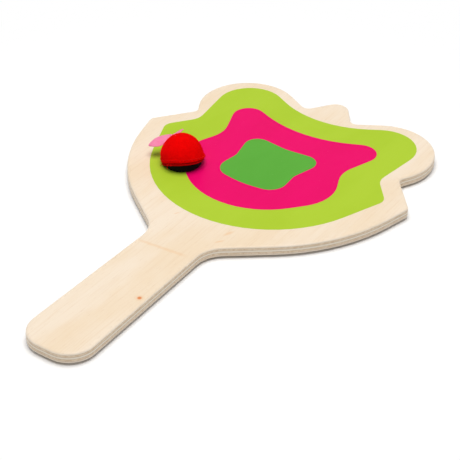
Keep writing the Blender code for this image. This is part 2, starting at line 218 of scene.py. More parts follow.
print("shader helpers ready:", [name for name in vars(Sheet) if not name.startswith("_")])

# %% [markdown]
# ## Floor and light
# The toy lies on a white studio table under one large soft box that hangs straight above it, because the
# wing's shadow falls right under the wing and the board has a narrow soft shadow all round. White walls fill
# in from all sides, the table throws light back at the sawn edges, and a weak reflector stands near the
# camera. The table lies a little lower than the board, which draws the dark line under its edge. Away from
# the toy the table turns plain white for the camera, so that it meets the white room unseen.

# %% Lay the floor
FLOOR_REACH = 4.0
FLOOR_WHITE = 0.78
FADE_START, FADE_END = 0.23, 0.38
TABLE_GAP = 0.0018
WHITE = (1.0, 1.0, 1.0, 1.0)


def sees_white(sheet):
    """1 for a ray that the camera sees, also mirrored or through a pane, and 0 for light that bounces."""
    path = sheet.add("LightPath").socket.node
    straight, mirrored, through = (Wire(sheet, path.outputs[f"Is {kind} Ray"])
                                   for kind in ("Camera", "Glossy", "Transmission"))
    return straight.math("MAXIMUM", straight.math("MAXIMUM", straight, mirrored), through)


floor_sheet = finish_sheet("white_table")
seen = sees_white(floor_sheet)
x, y, _ = floor_sheet.axes()
fade = ((x * x + y * y) ** 0.5).rise(FADE_START, FADE_END)
dull = floor_sheet.add("BsdfDiffuse", None, {"Color": (FLOOR_WHITE,) * 3 + (1.0,)})
near = floor_sheet.add("BsdfDiffuse", None, {"Color": WHITE})
far = floor_sheet.add("Emission", None, {"Color": WHITE, "Strength": 1.0})
bright = floor_sheet.add("MixShader", None, {0: fade, 1: near, 2: far})
floor_sheet.add("OutputMaterial", None, {
    "Surface": floor_sheet.add("MixShader", None, {0: seen, 1: dull, 2: bright})})

table = bpy.data.meshes.new("white_table")
table.from_pydata([(x * FLOOR_REACH, y * FLOOR_REACH, -TABLE_GAP)
                   for x, y in ((-1, -1), (1, -1), (1, 1), (-1, 1))], [], [(0, 1, 2, 3)])
table.materials.append(floor_sheet.owner)
floor = bpy.data.objects.new("white_table", table)
scene.collection.objects.link(floor)
print("floor:", 2 * FLOOR_REACH, "m wide,", round(TABLE_GAP / MM, 1), "mm below the board")

# %% Hang the lamps and paint the walls
ROOM_GLOW = 0.32
LAMPS = {"soft_box": ((0.0, 0.0, 2.0), 1.6, 33.0), "reflector": ((0.85, -1.25, 0.55), 0.90, 0.6)}
LAMP_AIM = (0.0, 0.03, 0.0)

room = Sheet(bpy.data.worlds.new("white_room"))
scene.world = room.owner
seen = sees_white(room)
glow = room.add("Background", None, {"Color": WHITE, "Strength": ROOM_GLOW})
white = room.add("Background", None, {"Color": WHITE, "Strength": 1.0})
room.add("OutputWorld", None, {"Surface": room.add("MixShader", None, {0: seen, 1: glow, 2: white})})

for name, (place, size, power) in LAMPS.items():
    light = bpy.data.lights.new(name, "AREA")
    light.shape, light.size, light.energy = "DISK", size, power
    lamp = bpy.data.objects.new(name, light)
    lamp.location = place
    aim = Vector(LAMP_AIM) - Vector(place)
    lamp.rotation_euler = aim.to_track_quat("-Z", "Y").to_euler()
    scene.collection.objects.link(lamp)
    print(name + ":", round(aim.length, 2), "m away,", power, "W")

# %% [markdown]
# ## Reading the frame's shapes
# Every visible piece takes its place from the frame. A flat part gives its outline: the edges round its flat
# underside, walked in order. A ring gives its middle and its axis, from the directions in which its points
# spread most and least. Only sag, pleats and the birch edge's wear and painted sheen are set, so a change of
# place in the frame carries over to the pieces that dress it.

# %% Helpers that read a part
WELD_REACH = 1e-6
LEVEL = 0.9


def welded(node):
    """A copy of a part's mesh with its split corners joined again."""
    bm = bmesh.new()
    bm.from_mesh(frame["nodes"][node].data)
    bmesh.ops.remove_doubles(bm, verts=bm.verts, dist=WELD_REACH)
    bm.normal_update()
    return bm


def outline_of(node):
    """The outer outline of a flat part's underside, as (x, y) points in order, anticlockwise."""
    bm = welded(node)
    under = {face for face in bm.faces if face.normal.z < -LEVEL}
    rim = [edge for edge in bm.edges if sum(face in under for face in edge.link_faces) == 1]
    ways = {}
    for edge in rim:
        for vert in edge.verts:
            ways.setdefault(vert, []).append(edge.other_vert(vert))
    loops, left = [], dict.fromkeys(ways)
    while left:
        start = next(iter(left))
        del left[start]
        loop, here = [start], ways[start][0]
        while here is not start:
            left.pop(here, None)
            loop.append(here)
            here = next(vert for vert in ways[here] if vert is not loop[-2])
        loops.append([(vert.co.x, vert.co.y) for vert in loop])
    bm.free()
    widest = max(loops, key=lambda loop: abs(area_of(loop)))
    return widest if area_of(widest) > 0 else widest[::-1]


def area_of(loop):
    """The area inside an outline, above zero if its points run anticlockwise."""
    pairs = zip(loop, loop[1:] + loop[:1])
    return sum(a[0] * b[1] - b[0] * a[1] for a, b in pairs) / 2


def spread_of(node):
    """A part's middle, and its axes from the longest spread to the shortest."""
    bm = welded(node)
    points = np.array([vert.co for vert in bm.verts])
    bm.free()
    middle = points.mean(0)
    axes = np.linalg.svd(points - middle)[2]
    return Vector(middle), [Vector(axis) for axis in axes]


board_line = outline_of("core_ply")
print("board outline:", len(board_line), "points,", round(area_of(board_line) * 1e4, 1), "square cm")

# %% Helpers that make a piece
def show(mesh, finish, body, slot, *nodes):
    """Put a mesh in the scene under its own name, riding on a body and standing for the named parts."""
    mesh.materials.clear()
    mesh.materials.append(finish)
    piece = bpy.data.objects.new(mesh.name, mesh)
    scene.collection.objects.link(piece)
    if body:
        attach(piece, body)
    if nodes:
        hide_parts(*nodes)
    return piece


def mesh_from(bm, name, sharp=35):
    """A smooth-shaded mesh from a bmesh, with creases where faces turn by more than sharp degrees."""
    bmesh.ops.recalc_face_normals(bm, faces=bm.faces)
    mesh = bpy.data.meshes.new(name)
    bm.to_mesh(mesh)
    bm.free()
    mesh.shade_smooth()
    mesh.set_sharp_from_angle(angle=math.radians(sharp))
    return mesh


def inset(loop, depth):
    """The outline moved inwards, corner by corner, along the line that halves each corner."""
    moved = []
    for before, here, after in zip(loop[-1:] + loop[:-1], loop, loop[1:] + loop[:1]):
        first = (Vector(here) - Vector(before)).normalized()
        second = (Vector(after) - Vector(here)).normalized()
        inward = Vector((-first.y - second.y, first.x + second.x)).normalized()
        reach = depth / max(inward.dot(Vector((-first.y, first.x))), 0.3)
        moved.append((here[0] + inward.x * reach, here[1] + inward.y * reach))
    return moved


def join_rings(bm, rings, closed=False):
    """Faces from each ring of points to the next, and flat ends unless the rings close."""
    following = rings[1:] + rings[:1] if closed else rings[1:]
    for first, second in zip(rings, following):
        for k in range(len(first)):
            after = (k + 1) % len(first)
            bm.faces.new((first[k], first[after], second[after], second[k]))
    if not closed:
        bm.faces.new(rings[0][::-1])
        bm.faces.new(rings[-1])


def plate(name, loop, rows):
    """A closed plate: one ring of the outline for each (inset, height), bottom to top."""
    bm = bmesh.new()
    rings = []
    for depth, height in rows:
        line = inset(loop, depth) if depth else loop
        rings.append([bm.verts.new((x, y, height)) for x, y in line])
    join_rings(bm, rings)
    return mesh_from(bm, name)


print("piece helpers ready")

# %% [markdown]
# ## Birch
# The face is rotary-cut birch under a satin lacquer: a warm cream with a faint cloudy figure, fine lines
# along the handle and short dark pores. A few things make it this very sheet of wood: an orange pin knot by
# the handle's edge, a faint line across the neck and some brown flecks beside the print. The figure and the
# lines are stretched noise. The marks are placed by sums on x and y, so they are always sharp.

# %% Birch finish
PIN_KNOT = (0.0198, -0.1138)
NECK_LINE = (-0.0030, -0.0584, 0.067)
FLECKS = ((0.0268, -0.0173, 0.0062, 0.33), (0.0271, -0.0292, 0.0044, 0.62),
          (-0.0192, -0.0167, 0.0030, 0.5))
BIRCH_PALE = tone(244, 227, 205)
BIRCH_WARM = tone(240, 218, 188)
BIRCH_LINE = tone(225, 193, 153)
BIRCH_PORE = tone(199, 158, 116)
BIRCH_MARK = tone(233, 180, 116)
BIRCH_KNOT = tone(222, 128, 66)
BIRCH_WEAR_AND_SHEEN = tone(250, 240, 226)
LINE_SIZE, LINE_STRETCH = 0.0016, (1, 0.035, 1)
PORE_SIZE, PORE_STRETCH = 0.0005, (1, 0.060, 1)


def wood_colour(sheet):
    """Cloudy figure, fine lines along the handle and pores. Returns the colour, the lines and the pores."""
    figure = sheet.grain(0.030, (1, 0.30, 1), 4.0, 0.55)
    lines = sheet.grain(LINE_SIZE, LINE_STRETCH, 3.0, 0.6)
    pores = sheet.grain(PORE_SIZE, PORE_STRETCH, 1.0).rise(0.66, 0.74)
    colour = sheet.mix(figure.rise(0.34, 0.68), BIRCH_PALE, BIRCH_WARM)
    colour = sheet.mix(lines.rise(0.45, 0.80) * 0.30, colour, BIRCH_LINE)
    return sheet.mix(pores * 0.22, colour, BIRCH_PORE), lines, pores


def marked_colour(sheet, colour):
    """The colour with the line across the neck, the flecks and the pin knot."""
    x, y, _ = sheet.axes()
    cloud = sheet.grain(0.004, (1, 0.5, 1), 2.0)
    line_x, line_y, slope = NECK_LINE
    across = abs(y - line_y - (x - line_x) * slope + (cloud - 0.5) * 0.0022)
    line = across.fall(0.0003, 0.0022) * abs(x - line_x).fall(0.014, 0.023)
    colour = sheet.mix(line * 0.28, colour, BIRCH_MARK)
    for middle_x, middle_y, reach, lean in FLECKS:
        off = x - middle_x - (y - middle_y) * lean
        far = ((off * 2.6) ** 2 + (y - middle_y) ** 2) ** 0.5 + (cloud - 0.5) * 0.002
        colour = sheet.mix(far.fall(0.0002, reach) * 0.5, colour, BIRCH_MARK)
    far = ((x - PIN_KNOT[0]) ** 2 + (y - PIN_KNOT[1]) ** 2) ** 0.5
    colour = sheet.mix(far.fall(0.0012, 0.0045) * 0.35, colour, BIRCH_MARK)
    return sheet.mix(far.fall(0.0006, 0.0022), colour, BIRCH_KNOT)


def birch(name, marked):
    """Lacquered birch, paler on its rounded edge: wear, and a painted highlight of the lacquer's sheen."""
    sheet = finish_sheet(name)
    colour, lines, pores = wood_colour(sheet)
    if marked:
        colour = marked_colour(sheet, colour)
    facing = sheet.add("SeparateXYZ", None, {0: sheet.add("NewGeometry", out="Normal")}, "Z")
    # Pale rounded edge: partly wear, partly a painted highlight of the white room in the lacquer.
    rounded = abs(facing).fall(0.55, 0.985)
    wear_and_sheen_patches = sheet.grain(0.006, detail=3.0)
    colour = sheet.mix(rounded * (0.25 + wear_and_sheen_patches * 0.4), colour, BIRCH_WEAR_AND_SHEEN)
    height = lines * 0.5 + pores * -0.8 + sheet.grain(0.0009) * 0.3
    return sheet.surface(colour, rough=0.36 + lines * 0.10 + rounded * 0.06,
                         bump=(height, 0.00004, 0.6), gloss=0.32)


face_birch = birch("lacquered_face_birch", True)
back_birch = birch("lacquered_back_birch", False)
print("birch:", len(face_birch.node_tree.nodes), "nodes on the face,",
      len(back_birch.node_tree.nodes), "on the back")

# %% [markdown]
# ## Sawn edge
# Round the edge the five plies show as stripes. Where a ply runs along the edge it is pale, and where it runs
# across we look into its open end grain, which drinks the lacquer and turns darker. Thin brown glue lines
# part them. Each stripe is a ply with its own finish, and the glue line comes from how close a point is to
# its ply's top or bottom.

# %% Edge finish
LONG_PLY = tone(253, 243, 226)
LONG_PLY_LINE = tone(246, 230, 206)
END_GRAIN = tone(245, 225, 197)
END_GRAIN_DARK = tone(222, 192, 156)
GLUE = tone(160, 122, 86)
GLUE_CORE, GLUE_REACH = 0.00003, 0.00016


def sawn_edge(name, low, high, pale, dark, streak):
    """The edge of a ply that lies between two heights, with streaks and with glue at both of them."""
    sheet = finish_sheet(name)
    _, _, z = sheet.axes()
    along = sheet.grain(0.0022, (1, 1, streak), 3.0, 0.6)
    fine = sheet.grain(0.0005, (1, 1, streak), 2.0)
    colour = sheet.mix(along.rise(0.35, 0.70) * 0.7 + fine.rise(0.5, 0.8) * 0.3, pale, dark)
    inside = (z - low).math("MINIMUM", z - low, high - z)
    glue = inside.fall(GLUE_CORE, GLUE_REACH) * (0.45 + along * 0.5)
    colour = sheet.mix(glue, colour, GLUE)
    return sheet.surface(colour, rough=0.46 + along * 0.16,
                         bump=(along * 0.6 + fine * 0.4, 0.00006, 0.7), gloss=0.35)


print("edge finish: glue lines reach", round(GLUE_REACH / MM, 2), "mm into each ply")

# %% [markdown]
# ## Five plies
# The frame leaves a hair's breadth between the plies so that they stay separate solids. On the real board
# they are glued, so each visible ply is drawn up to the middle of that gap. Only the two outer veneers are
# sanded round, in a quarter of an ellipse of short steps that runs further over the face than down the edge.
# A narrow ring inside it keeps the face flat when the corner is shaded smooth.

# %% Build the plies
PLIES = ("back_veneer", "lower_cross_ply", "core_ply", "upper_cross_ply", "face_veneer")
EDGE_ROUND = {"face_veneer": (0.0014, 0.0021), "back_veneer": (0.0007, 0.0009)}
ROUND_STEPS = 6
FLAT_RING = 0.0004
CROSS_LOOK = (END_GRAIN, END_GRAIN_DARK, 1.0)
LONG_LOOK = (LONG_PLY, LONG_PLY_LINE, 5.0)

limits = [[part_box(node)[0].z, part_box(node)[1].z] for node in PLIES]
for below, above in zip(limits, limits[1:]):
    below[1] = above[0] = (below[1] + above[0]) / 2


def rounded_rows(node, start, end):
    """Rows from the flat joint at start to the rounded outer face at end."""
    drop, reach = EDGE_ROUND[node]
    side = 1 if end > start else -1
    rows = [(0.0, start), (0.0, end - side * drop)]
    for step in range(1, ROUND_STEPS + 1):
        angle = math.pi / 2 * step / ROUND_STEPS
        rows.append((reach * (1 - math.cos(angle)), end - side * drop * (1 - math.sin(angle))))
    rows.append((reach + FLAT_RING, end))
    return rows if side > 0 else rows[::-1]


for node, (low, high) in zip(PLIES, limits):
    if node == "face_veneer":
        rows, finish = rounded_rows(node, low, high), face_birch
    elif node == "back_veneer":
        rows, finish = rounded_rows(node, high, low), back_birch
    else:
        rows = [(0.0, low), (0.0, high)]
        look = LONG_LOOK if node == "core_ply" else CROSS_LOOK
        finish = sawn_edge(node + "_edge", low, high, *look)
    slot = "cross_ply" if "cross" in node else "lacquered_birch"
    show(plate(node + "_wood", board_line, rows), finish, "paddle", slot, node)
board_top = limits[-1][1]
print("plies:", [round((high - low) / MM, 2) for low, high in limits], "mm, top at",
      round(board_top / MM, 2), "mm")

# %% [markdown]
# ## Printed zones
# The three zones are screen-printed one over the other, so there is no bare line between them and no edge to
# feel. Each zone is a film a few hundredths of a millimetre thick that runs on under the next one. The ink
# sinks into the wood and lies under the same lacquer, so the fine lines of the birch still show in its gloss
# and, very faintly, in its colour.

# %% Ink finish
def printed_ink(name, colour, deep, pale):
    """Ink over the lines and pores of the birch, with a few pale specks."""
    sheet = finish_sheet(name)
    lines = sheet.grain(LINE_SIZE, LINE_STRETCH, 3.0, 0.6)
    cloud = sheet.grain(0.028, (1, 0.5, 1), 3.0)
    pores = sheet.grain(PORE_SIZE, PORE_STRETCH, 1.0).rise(0.68, 0.76)
    specks = sheet.grain(0.0011, detail=0.0).rise(0.84, 0.87)
    mixed = sheet.mix(cloud.rise(0.35, 0.70) * 0.5, colour, deep)
    mixed = sheet.mix(lines.rise(0.50, 0.85) * 0.12 + pores * 0.10, mixed, deep)
    mixed = sheet.mix(specks * 0.25, mixed, pale)
    return sheet.surface(mixed, rough=0.40 + lines * 0.12,
                         bump=(lines * 0.6 - pores * 0.6, 0.00003, 0.5), gloss=0.06)


print("ink finish ready, with birch lines", LINE_SIZE / MM, "mm wide")

# %% Print the zones
FILM = 0.00003
OVERPRINT = 0.00015
ZONES = (
    ("lime_print", "lime_ink", tone(176, 206, 54), tone(169, 200, 45), tone(206, 224, 130)),
    ("magenta_print", "magenta_ink", tone(235, 2, 105), tone(228, 1, 98), tone(247, 120, 170)),
    ("green_print", "green_ink", tone(92, 171, 60), tone(86, 164, 54), tone(140, 196, 120)),
)
for layer, (node, slot, colour, deep, pale) in enumerate(ZONES):
    line = inset(outline_of(node), -OVERPRINT)
    base = board_top + layer * FILM
    show(plate(node + "_film", line, [(0, base), (0, base + FILM)]),
         printed_ink(slot + "_lacquered", colour, deep, pale), "paddle", slot, node)
    print(node, "film:", len(line), "points round,", round(area_of(line) * 1e4, 1), "square cm")

# %% [markdown]
# ## Felt
# Wool felt has no weave: short fibres lie in all directions, so its colour is even, with a slight cloudiness
# and a dry, fuzzy surface without any gloss. The finish gives the cloudiness, a fibre-sized bump and a soft
# sheen at glancing angles. The fuzz comes last, as geometry, because a finish can't roughen an outline.

# %% Felt finish
def felt(name, colour, deep, light, sheen):
    """Matted fibres in two directions over a cloudy colour, with a soft sheen."""
    sheet = finish_sheet(name)
    cloud = sheet.grain(0.0040, detail=3.0, rough=0.6)
    hairs = sheet.grain(0.00045, (1, 0.35, 1), 3.0, 0.7)
    cross = sheet.grain(0.00045, (0.35, 1, 0.7), 3.0, 0.7)
    mat = hairs.math("MAXIMUM", hairs, cross)
    mixed = sheet.mix(cloud.rise(0.30, 0.75) * 0.55, colour, deep)
    mixed = sheet.mix(mat.rise(0.52, 0.72) * 0.40, mixed, light)
    return sheet.surface(mixed, rough=0.90 + mat * 0.10,
                         bump=(mat * 0.7 + cloud * 0.3, 0.00030, 0.8), gloss=0.02,
                         more={"Sheen Weight": 0.20, "Sheen Roughness": 0.6, "Sheen Tint": sheen})


red_felt = felt("red_wool_felt", tone(245, 2, 3), tone(219, 1, 2), tone(249, 8, 8), tone(250, 30, 24))
pink_felt = felt("pink_wool_felt", tone(250, 143, 182), tone(244, 122, 165), tone(255, 170, 200),
                 tone(255, 190, 212))
# A darker copy of the red felt for the base: painted shade under the lip.
painted_shade_base_felt = felt("red_wool_felt_painted_shade", tone(196, 2, 3), tone(160, 1, 2), tone(214, 4, 4), tone(210, 20, 18))
print("felt finishes:", red_felt.name, pink_felt.name, painted_shade_base_felt.name)

# %% [markdown]
# ## The bug's body
# The body is a domed panel and a shallow base panel, sewn lip to lip and stuffed. The frame has the dome and
# its lean. Here its outer skin is taken off the solid, refined, and blown up a little as cloth, with the sewn
# lip held still: the felt then bellies out between the stitches as stuffed felt does. Cloth forces are made
# for things the size of a cushion, so the skin is simulated at twenty times its size and shrunk again.

# %% Find the seam
STITCHES = 46
UP = Vector((0, 0, 1))

seam_middle, seam_axes = spread_of("seam_thread")
seam_up = seam_axes[2] if seam_axes[2].z > 0 else -seam_axes[2]
seam_across = UP.cross(seam_up).normalized()
seam_over = seam_up.cross(seam_across)


def round_seam(angle, radius, height):
    """A point in the seam's own frame, which leans with the dome."""
    turn = seam_across * math.cos(angle) + seam_over * math.sin(angle)
    return seam_middle + turn * radius + seam_up * height


def seen_from_seam(point):
    """The angle, radius and height of a point in the seam's frame."""
    off = point - seam_middle
    side, front = off.dot(seam_across), off.dot(seam_over)
    return math.atan2(front, side), math.hypot(side, front), off.dot(seam_up)


print("seam: leans", round(math.degrees(seam_up.angle(UP)), 1), "degrees,", STITCHES, "stitches")

# %% [markdown]
# ## Sag
# A soft body that was put down sags: on its low side it sinks towards the board, and across from there its
# brim droops, so that the sewn line looks almost straight from the camera. One function moves any point of
# the body, so that panels and thread sag alike.

# %% Let the body sag
SLUMP, SLUMP_HEIGHT = 0.0047, 0.0125
SLUMP_MIDDLE, SLUMP_REACH = math.radians(2), math.radians(46)
SLUMP_BELLY, SLUMP_TUCK = 0.0011, 0.0004
DROOP, DROOP_OUT, DROOP_TAPER = 0.0038, 0.0004, 0.55
DROOP_MIDDLE, DROOP_REACH = math.radians(190), math.radians(42)
BASE_TUCK, BASE_DEPTH, BASE_SAG = 0.0009, 0.0030, 0.0010
PAD_CLEAR, RIM_FREE = 0.0150, 0.0172
PRINT_TOP = board_top + len(ZONES) * FILM
FELT_CLEAR = 0.0004


def share_of(value, start, end):
    """How far a value has come from start to end, kept from 0 to 1."""
    return min(max((value - start) / (end - start), 0.0), 1.0)


def bell(angle, middle, reach):
    """1 in the middle of an arc of the seam, and less and less away from it."""
    away = math.remainder(angle - middle, math.tau) / reach
    return math.exp(-away * away)


def slumped(point):
    """Where a point of the body goes as it sags: down towards the print, and a little in or out."""
    angle, radius, height = seen_from_seam(point)
    side = bell(angle, SLUMP_MIDDLE, SLUMP_REACH)
    brim = bell(angle, DROOP_MIDDLE, DROOP_REACH)
    free = share_of(radius, PAD_CLEAR, RIM_FREE) if height < 0 else 1.0
    low = (1 - share_of(height, 0.0, SLUMP_HEIGHT)) ** 2
    under = share_of(-height, 0.0, BASE_DEPTH)
    sag = DROOP * brim * (1 - DROOP_TAPER * under) * low + BASE_SAG * under * (1 - brim)
    room = max(point.z - PRINT_TOP - FELT_CLEAR, 0.0)
    drop = min((SLUMP * side * low + sag) * free, room)
    out = side * (SLUMP_BELLY * 4 * low * (1 - low) - SLUMP_TUCK * low)
    out += brim * DROOP_OUT * low - BASE_TUCK * under * (1 + side + brim)
    return round_seam(angle, radius + out * free, height) - UP * drop


print("sag: up to", round(SLUMP / MM, 1), "mm on the low side,", round(DROOP / MM, 1), "mm across from it")

# %% Take the dome's outer skin
LIP_DEPTH = 0.00225
INNER_LIMIT = 0.0002
QUAD_BEND, QUAD_SHAPE = math.radians(40), math.radians(50)


def refined(bm, levels, name, thickness=0.0):
    """A bmesh smoothed by subdivision, and thickened inwards to a sheet if a thickness is given."""
    mesh = bpy.data.meshes.new(name)
    bm.to_mesh(mesh)
    bm.free()
    stand_in = bpy.data.objects.new(name, mesh)
    scene.collection.objects.link(stand_in)
    if thickness:
        sheet = stand_in.modifiers.new("felt", "SOLIDIFY")
        sheet.thickness, sheet.offset = thickness, -1.0
    smooth = stand_in.modifiers.new("smooth", "SUBSURF")
    smooth.levels = smooth.render_levels = levels
    ready = stand_in.evaluated_get(bpy.context.evaluated_depsgraph_get())
    fine = bpy.data.meshes.new_from_object(ready)
    bpy.data.objects.remove(stand_in, do_unlink=True)
    bpy.data.meshes.remove(mesh)
    fine.name = name
    fine.shade_smooth()
    return fine


def quads(bm):
    """A bmesh with its triangles joined in pairs, because four-sided faces subdivide evenly."""
    bmesh.ops.join_triangles(bm, faces=bm.faces, angle_face_threshold=QUAD_BEND,
                             angle_shape_threshold=QUAD_SHAPE)
    return bm


skin = quads(welded("dome_panel"))
anchor = seam_middle - seam_up * LIP_DEPTH
inner = [face for face in skin.faces
         if (face.calc_center_median() - anchor).dot(face.normal) < INNER_LIMIT]
bmesh.ops.delete(skin, geom=inner, context="FACES")
skin = refined(skin, 1, "dome_skin")
print("dome skin:", len(skin.vertices), "points,", len(skin.polygons), "faces")

# %% Blow the skin up as cloth
CLOTH_SCALE = 20.0
SWELL_FRAMES = 20
SWELL_PRESSURE = 4.0
SWELL_CAP = 0.0005
STITCH_PULL = 0.00028
LIP_HEIGHT = 0.0002


def swell(mesh, held):
    """Cloth under pressure, with some points held. Moves the mesh, capped, and returns the longest move."""
    start = np.array([vert.co for vert in mesh.vertices])
    big = mesh.copy()
    big.transform(Matrix.Scale(CLOTH_SCALE, 4))
    bag = bpy.data.objects.new("swelling_skin", big)
    scene.collection.objects.link(bag)
    bag.vertex_groups.new(name="sewn").add(held, 1.0, "REPLACE")
    cloth = bag.modifiers.new("swell", "CLOTH")
    cloth.settings.vertex_group_mass = "sewn"
    cloth.settings.use_pressure = True
    cloth.settings.uniform_pressure_force = SWELL_PRESSURE
    cloth.settings.effector_weights.gravity = 0.0
    cloth.point_cache.frame_end = SWELL_FRAMES
    for step in range(1, SWELL_FRAMES + 1):
        scene.frame_set(step)
    done = bag.evaluated_get(bpy.context.evaluated_depsgraph_get()).to_mesh()
    move = np.array([vert.co for vert in done.vertices]) / CLOTH_SCALE - start
    scene.frame_set(1)
    bpy.data.objects.remove(bag, do_unlink=True)
    bpy.data.meshes.remove(big)
    length = np.linalg.norm(move, axis=1, keepdims=True)
    move *= np.minimum(1.0, SWELL_CAP / np.maximum(length, 1e-9))
    for vert, step in zip(mesh.vertices, move):
        vert.co += Vector(step)
    return length.max()


held = []
for vert in skin.vertices:
    angle, radius, height = seen_from_seam(vert.co)
    if height < LIP_HEIGHT:
        held.append(vert.index)
        pull = (0.5 + 0.5 * math.cos(angle * STITCHES)) ** 2 * STITCH_PULL
        vert.co = round_seam(angle, radius - pull, height)
most = swell(skin, held)
print("dome: cloth moved up to", round(most / MM, 2), "mm, kept to", SWELL_CAP / MM, "mm,", len(held), "held")

# %% Finish the dome
FELT_THICKNESS = 0.0014
LUMP, LUMP_SIZE = 0.00022, 0.0075
BASE_LUMP = 0.00008
FLUFF, FLUFF_SIZE = 0.00007, 0.0010


def settle(mesh, lump=LUMP):
    """Let a panel sag, and push its points in and out by noise: lumps of stuffing and a fine fluff."""
    for vert in mesh.vertices:
        vert.co = slumped(vert.co)
    normals = [vert.normal.copy() for vert in mesh.vertices]
    for vert, normal in zip(mesh.vertices, normals):
        soft = noise.noise(vert.co / LUMP_SIZE)
        fine = noise.noise(vert.co / FLUFF_SIZE)
        vert.co += normal * (soft * lump + fine * FLUFF)


bm = bmesh.new()
bm.from_mesh(skin)
dome_mesh = refined(bm, 1, "stuffed_dome", FELT_THICKNESS)
settle(dome_mesh)
dome = show(dome_mesh, red_felt, "catch_bug", "red_felt", "dome_panel")
print("stuffed dome:", len(dome_mesh.polygons), "faces")

# %% [markdown]
# ## Base panel and stuffing
# The base panel closes the body from below. It is slack, so it sags and tucks in under the lip. Its felt is
# drawn a deeper red than the dome's as painted shade, for the dark band under the lip. It is the frame's own
# panel, refined, moved by the same sag as the dome and roughened. The stuffing can't be seen in use, but it
# is
# there: a loose lump of pale fibre.

# %% Base and stuffing
FILL_DENT, FILL_DENT_SIZE = 0.0008, 0.003


def fibre_fill():
    """Pale wisps of loose fibre."""
    sheet = finish_sheet("pale_fibre")
    wisps = sheet.grain(0.0012, (1, 0.3, 0.6), 4.0, 0.7)
    colour = sheet.mix(wisps.rise(0.3, 0.7), tone(214, 210, 202), tone(246, 244, 240))
    return sheet.surface(colour, rough=0.9 + wisps * 0.1, bump=(wisps, 0.0004, 0.9), gloss=0.05)


base_mesh = refined(quads(welded("base_panel")), 2, "slack_base")
settle(base_mesh, BASE_LUMP)
base = show(base_mesh, painted_shade_base_felt, "catch_bug", "red_felt", "base_panel")

fill_mesh = refined(quads(welded("filling")), 1, "loose_filling")
fill_normals = [vert.normal.copy() for vert in fill_mesh.vertices]
for vert, normal in zip(fill_mesh.vertices, fill_normals):
    vert.co -= normal * abs(noise.noise(vert.co / FILL_DENT_SIZE)) * FILL_DENT
fill = show(fill_mesh, fibre_fill(), "catch_bug", "fibre_filling", "filling")
print("base:", len(base_mesh.polygons), "faces, stuffing:", len(fill_mesh.polygons), "faces")

# %% [markdown]
# ## Thread
# The lip is sewn with red thread in small running stitches: it comes out, lies on the felt and dives again. A
# tube that waves in and out round the seam looks just like that, because the felt swallows its inner parts.
# The tube is swept with a frame that is carried from point to point, so it never twists.

# %% Tubes along a line of points
ROUND = 80


def sweep(bm, points, radii, sides=6, closed=False):
    """Add a tube along points to a bmesh."""
    count = len(points)
    rings, side = [], None
    for i, point in enumerate(points):
        before = points[i - 1] if i or closed else point
        after = points[(i + 1) % count] if i < count - 1 or closed else point
        way = (after - before).normalized()
        if side is None:
            side = way.orthogonal().normalized()
        side = (side - way * side.dot(way)).normalized()
        up = way.cross(side)
        rings.append([bm.verts.new(point + (side * math.cos(turn) + up * math.sin(turn)) * radii[i])
                      for turn in (math.tau * k / sides for k in range(sides))])
    join_rings(bm, rings, closed)


def thread_finish():
    """Sewing thread, darker in the grooves of its twist."""
    sheet = finish_sheet("red_sewing_thread")
    twist = sheet.grain(0.0003, (1, 1, 2.5), 2.0)
    colour = sheet.mix(twist.rise(0.35, 0.7), tone(208, 2, 2), tone(236, 4, 4))
    return sheet.surface(colour, rough=0.62 + twist * 0.2, bump=(twist, 0.00008, 0.8), gloss=0.10)


red_thread = thread_finish()
print("thread finish:", red_thread.name)

# %% Sew the seam
THREAD = 0.00028
STITCH_POINTS = 8
STITCH_DIVE = 0.00042
STITCH_SUNK = 1.25
STITCH_LOW = 0.00045

sewn = frame["nodes"]["seam_thread"].data.vertices
seam_radius = sum(seen_from_seam(vert.co)[1] for vert in sewn) / len(sewn)
points = []
for k in range(STITCHES * STITCH_POINTS):
    angle = math.tau * k / (STITCHES * STITCH_POINTS)
    dive = STITCH_DIVE * (math.cos(angle * STITCHES) - STITCH_SUNK)
    points.append(slumped(round_seam(angle, seam_radius + dive, -STITCH_LOW)))
bm = bmesh.new()
sweep(bm, points, [THREAD] * len(points), 6, closed=True)
show(mesh_from(bm, "running_stitches", ROUND), red_thread, "catch_bug", "red_thread", "seam_thread")
print("seam:", STITCHES, "stitches,", round(math.tau * seam_radius / STITCHES / MM, 2), "mm each")

# %% Loose ends
LOOSE_ENDS = ((16, 0.0032), (50, 0.0058), (58, 0.0030))
END_POINTS = 8
END_HEIGHT, END_START, END_AIM = -0.0022, 0.0001, 0.0010
END_OUT, END_FALL, END_SWAY = 0.40, 0.75, 0.0004
END_WIRE, END_TAPER = 0.00022, 0.00008

bm = bmesh.new()
for degrees, length in LOOSE_ENDS:
    turn = math.radians(degrees)
    start = slumped(round_seam(turn, seam_radius + END_START, END_HEIGHT))
    out = (slumped(round_seam(turn, seam_radius + END_AIM, END_HEIGHT)) - start).normalized()
    points = []
    for k in range(END_POINTS):
        share = k / (END_POINTS - 1)
        sway = seam_across * (END_SWAY * math.sin(share * 4 + degrees))
        fall = UP * (length * END_FALL * share ** 1.5)
        point = start + out * (length * END_OUT * share) - fall + sway
        points.append(Vector((point.x, point.y, max(point.z, PRINT_TOP + FELT_CLEAR))))
    sweep(bm, points, [END_WIRE - END_TAPER * k / END_POINTS for k in range(END_POINTS)], 5)
show(mesh_from(bm, "loose_thread_ends", ROUND), red_thread, "catch_bug", "red_thread")
print("loose ends:", len(LOOSE_ENDS))

